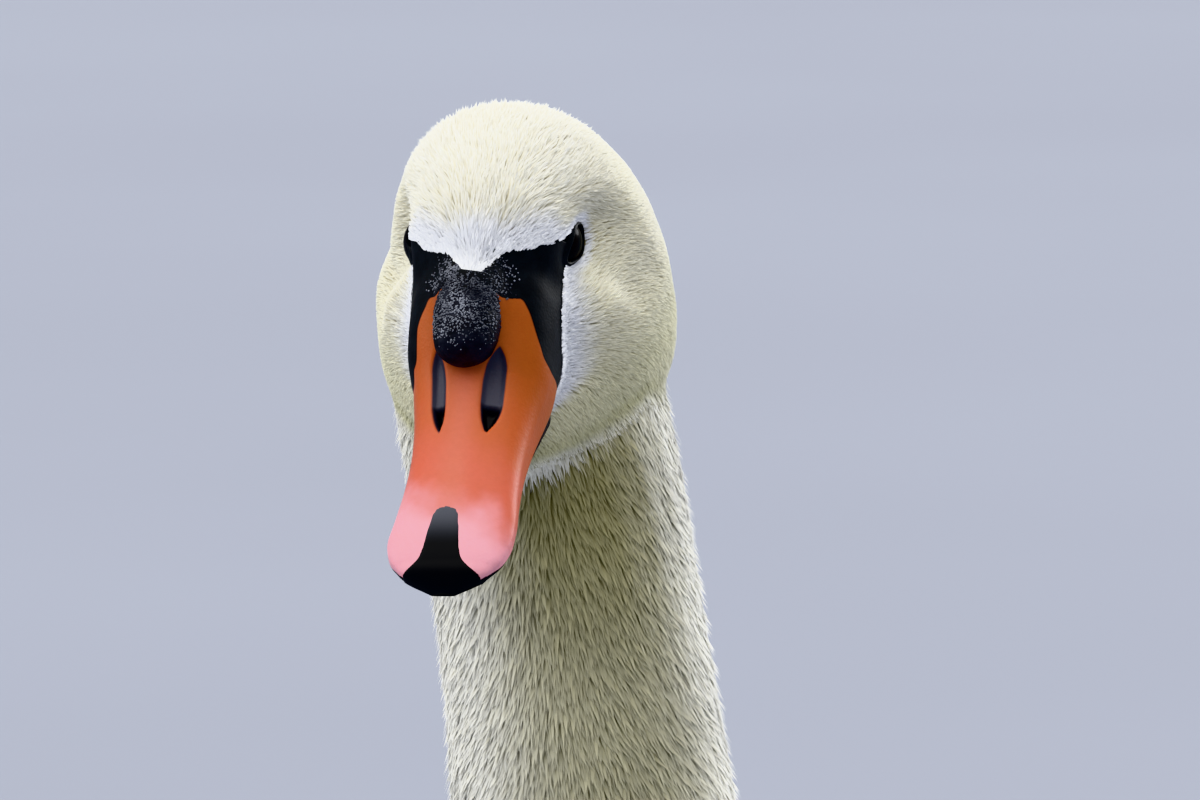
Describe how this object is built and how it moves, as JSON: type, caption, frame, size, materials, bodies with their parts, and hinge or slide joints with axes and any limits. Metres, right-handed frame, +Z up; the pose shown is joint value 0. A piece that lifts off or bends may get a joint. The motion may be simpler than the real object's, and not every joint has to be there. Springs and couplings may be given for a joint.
{
  "type": "mute swan",
  "caption": "Life-size mute swan at rest on its belly, wings folded, neck upright, head turned a little to its right with the bill held down.",
  "frame": {"origin": "bottom centre of the whole bird's bounding box, on the floor under its belly", "axes": "the bird faces -Y, its left side is +X, and +Z is up"},
  "size_m": [0.3256, 0.8128, 0.7499],
  "materials": {
    "plumage": "soft white feathers, warmer on the crown and neck",
    "bill_orange": "smooth horn, orange at the base and pink towards the tip",
    "bill_black": "smooth black horn with a soft sheen",
    "knob_skin": "granular black skin",
    "eye": "wet and glossy, dark brown",
    "leg_skin": "dark grey scaly skin"
  },
  "bodies": {
    "root": {"head": "plumage", "upper_bill": "bill_orange", "bill_nail": "bill_black", "lower_bill": "bill_black", "bill_knob": "knob_skin", "eye_left": "eye", "eye_right": "eye", "neck_upper": "plumage", "neck_middle": "plumage", "neck_lower": "plumage", "trunk": "plumage", "wing_left": "plumage", "wing_right": "plumage", "tail": "plumage", "thigh_left": "plumage", "thigh_right": "plumage", "leg_left": "leg_skin", "leg_right": "leg_skin", "foot_left": "leg_skin", "foot_right": "leg_skin"}
  },
  "joints": []
}
